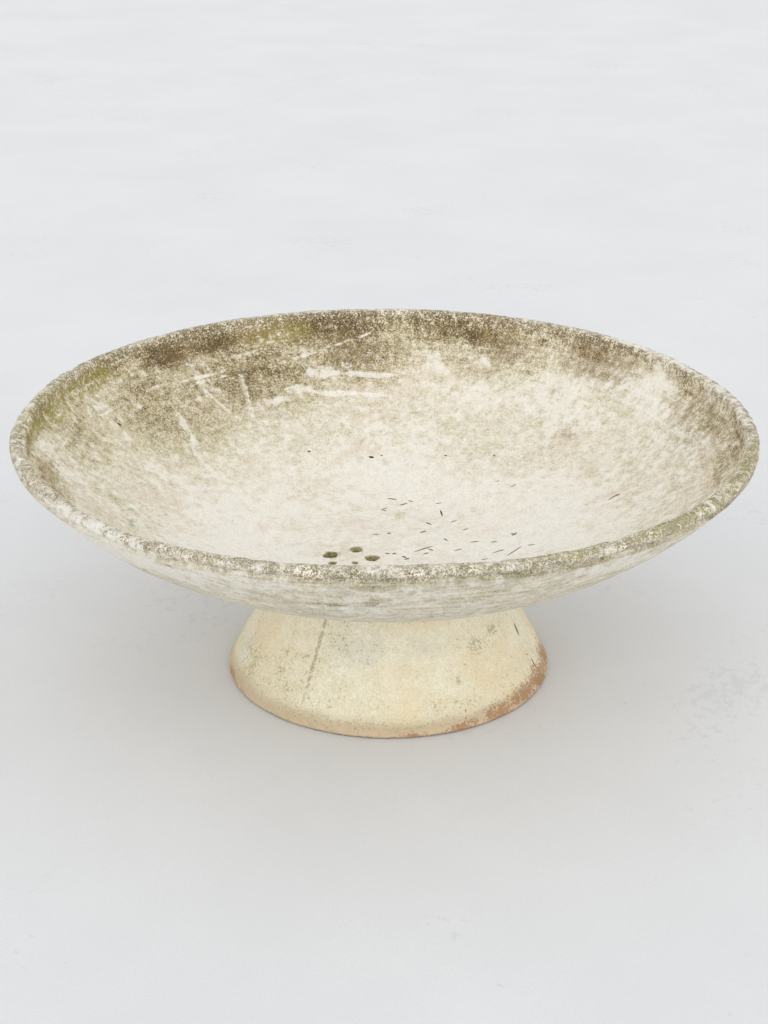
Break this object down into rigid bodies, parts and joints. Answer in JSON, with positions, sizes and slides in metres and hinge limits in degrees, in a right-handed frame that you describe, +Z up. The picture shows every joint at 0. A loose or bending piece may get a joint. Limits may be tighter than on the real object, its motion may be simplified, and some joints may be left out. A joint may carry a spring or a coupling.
{
  "type": "bowl planter",
  "caption": "Wide shallow weathered cement bowl with a rolled rim and drain holes, standing loose on a hollow conical pedestal, for outdoor planting.",
  "frame": {"origin": "centre of the pedestal's foot, on the surface that the planter stands on", "axes": "+Z up along the bowl's axis; -Y is the side towards the viewer in the picture; +X to the viewer's right"},
  "size_m": [1.2, 1.2, 0.4438],
  "materials": {
    "weathered_cement": "pitted, weathered, with lichen and brown staining",
    "cream_cement": "matte limewashed cement with fine pitting"
  },
  "bodies": {
    "pedestal": {"pedestal": "cream_cement"},
    "bowl": {"bowl": "weathered_cement"}
  },
  "joints": [
    {"name": "bowl_lift", "type": "slide", "parent": "pedestal", "child": "bowl", "axis": [0, 0, 1], "range_m": [0, 0.3]}
  ]
}
